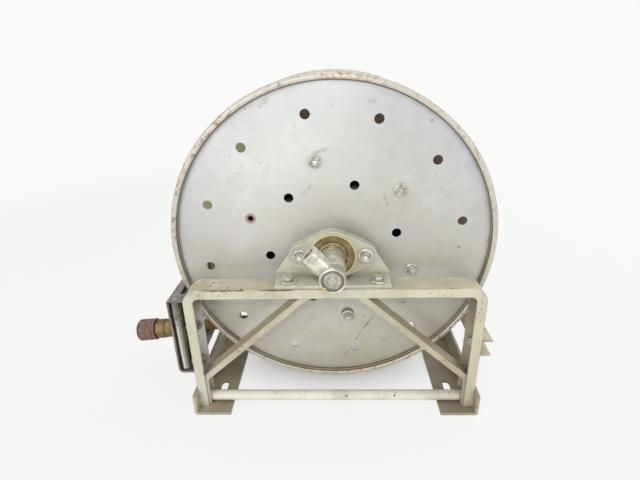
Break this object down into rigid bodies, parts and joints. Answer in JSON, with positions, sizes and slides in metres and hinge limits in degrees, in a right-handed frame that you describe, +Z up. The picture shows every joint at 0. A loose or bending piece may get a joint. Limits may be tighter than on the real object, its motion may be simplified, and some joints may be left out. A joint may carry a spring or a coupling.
{
  "type": "fire hose reel",
  "caption": "Floor-standing fire hose reel: braced channel frame, disc-sided drum with hose, swivel inlet on its hollow shaft, and a roller guide at the side.",
  "frame": {"origin": "on the floor, midway between the left and right slots and midway between the two end frames", "axes": "+Z up, -Y the front with the swivel inlet, +Y along the axle to the spring side, -X the side where the hose leaves"},
  "size_m": [0.6135, 0.3387, 0.5269],
  "materials": {
    "cream_paint": "worn cream paint, chipped to rust at corners",
    "disc_paint": "mottled light grey paint",
    "worn_steel": "worn plated steel",
    "greasy_steel": "steel under old grease",
    "dark_steel": "dark brown-grey paint",
    "cast_grey": "painted casting",
    "plated_bolt": "zinc-plated fastener",
    "brass": "dull brass",
    "old_bronze": "dark brown tarnished bronze",
    "hose_rubber": "dark red-brown rubber",
    "spring_steel": "blued spring steel"
  },
  "bodies": {
    "frame": {"end_frame_front": "cream_paint", "end_frame_rear": "cream_paint", "brace_front": "cream_paint", "brace_rear": "cream_paint", "cross_tube_front": "cream_paint", "cross_tube_rear": "cream_paint", "base_angle_left": "cream_paint", "base_angle_right": "cream_paint", "spacer_channel": "cream_paint", "spacer_bolts": "plated_bolt", "guide_frame": "dark_steel", "guide_cheek_front": "dark_steel", "guide_cheek_rear": "dark_steel", "guide_bolts": "plated_bolt", "guide_pins": "plated_bolt", "bearing_bracket_front": "cast_grey", "bearing_bracket_rear": "cast_grey", "bracket_bolts": "plated_bolt", "bearing_housing": "cast_grey", "housing_bolts": "plated_bolt", "bearing_outer_ring": "greasy_steel", "bearing_seals": "greasy_steel", "bearing_balls": "greasy_steel", "arbor_flange": "cast_grey", "arbor_bolts": "plated_bolt", "spring_arbor": "worn_steel", "arbor_nut": "plated_bolt", "rear_inner_ring": "greasy_steel", "hose_lead": "hose_rubber", "hose_ferrule": "brass", "hose_hex_inner": "brass", "hose_hex_outer": "brass"},
    "reel": {"disc_front": "disc_paint", "disc_rear": "disc_paint", "drum_shell": "disc_paint", "tie_bolts": "plated_bolt", "hub_shaft": "worn_steel", "shaft_collar": "worn_steel", "bearing_inner_ring": "greasy_steel", "swivel_barrel": "worn_steel", "outlet_pipe": "worn_steel", "hose_winding": "hose_rubber", "spring_case": "disc_paint", "case_bolts": "plated_bolt", "power_spring": "spring_steel", "rear_hub_ring": "cast_grey", "rear_outer_ring": "greasy_steel", "rear_balls": "greasy_steel"},
    "swivel": {"swivel_elbow": "worn_steel", "swivel_end_plug": "worn_steel", "grease_fitting": "brass"},
    "coupling": {"coupling_nut": "old_bronze"},
    "roller_front": {"guide_roller_front": "worn_steel"},
    "roller_rear": {"guide_roller_rear": "worn_steel"},
    "roller_bottom": {"guide_roller_bottom": "worn_steel"},
    "roller_top": {"guide_roller_top": "worn_steel"}
  },
  "joints": [
    {"name": "reel_spin", "type": "hinge", "parent": "frame", "child": "reel", "pos_m": [0, 0, 0.273], "axis": [0, 1, 0], "continuous": true, "deforming": ["hose_lead"]},
    {"name": "swivel_turn", "type": "hinge", "parent": "frame", "child": "swivel", "pos_m": [0, -0.1697, 0.273], "axis": [0, 1, 0], "continuous": true},
    {"name": "coupling_turn", "type": "hinge", "parent": "frame", "child": "coupling", "pos_m": [-0.32505, -0.032, 0.09239], "axis": [-0.996, 0, -0.0889], "continuous": true},
    {"name": "roller_front_spin", "type": "hinge", "parent": "frame", "child": "roller_front", "pos_m": [-0.2485, -0.1105, 0.13336], "axis": [0, 0, 1], "continuous": true},
    {"name": "roller_rear_spin", "type": "hinge", "parent": "frame", "child": "roller_rear", "pos_m": [-0.2485, 0.1105, 0.13336], "axis": [0, 0, 1], "continuous": true},
    {"name": "roller_bottom_spin", "type": "hinge", "parent": "frame", "child": "roller_bottom", "pos_m": [-0.2485, 0, 0.08286], "axis": [0, 1, 0], "continuous": true},
    {"name": "roller_top_spin", "type": "hinge", "parent": "frame", "child": "roller_top", "pos_m": [-0.2485, 0, 0.18586], "axis": [0, 1, 0], "continuous": true}
  ]
}
